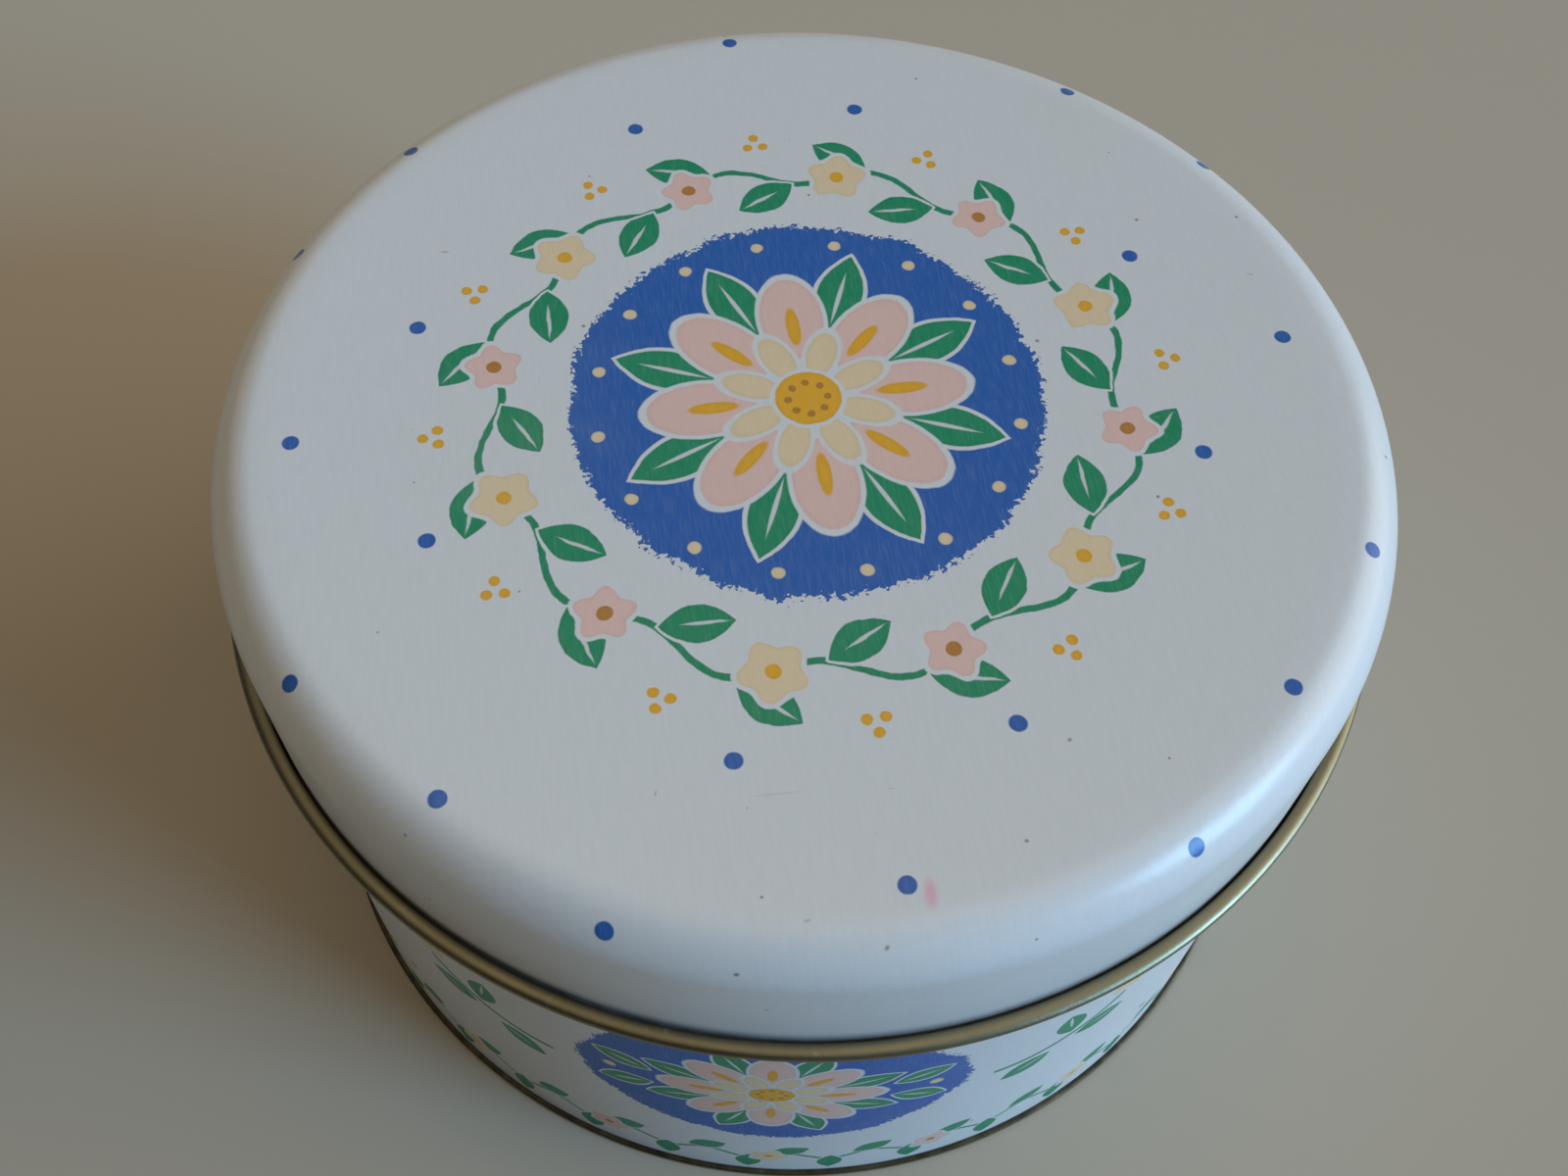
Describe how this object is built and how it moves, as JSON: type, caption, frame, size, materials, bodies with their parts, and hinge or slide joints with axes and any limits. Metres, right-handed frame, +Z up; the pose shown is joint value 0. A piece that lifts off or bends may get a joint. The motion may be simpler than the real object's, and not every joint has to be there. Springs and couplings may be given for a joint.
{
  "type": "bobbin box",
  "caption": "Round tinplate box with a slip-on lid that lifts off, for keeping bobbins, thread and small sewing notions; the lid has a rounded shoulder and a rolled edge.",
  "frame": {"origin": "middle of the face that the tin stands on", "axes": "+Z up along the tin's axis, through the lid; the wall's lap seam is at the back, towards +Y; -Y is the front"},
  "size_m": [0.137, 0.137, 0.0765],
  "materials": {
    "white_enamel": "satin printed enamel on tinplate",
    "gold_lacquer": "clear gold lacquer on tinplate"
  },
  "bodies": {
    "tin": {"tin_wall": "white_enamel", "tin_base": "gold_lacquer"},
    "lid": {"lid": "white_enamel"}
  },
  "joints": [
    {"name": "lid_lift", "type": "slide", "parent": "tin", "child": "lid", "axis": [0, 0, 1], "range_m": [0, 0.08]}
  ]
}
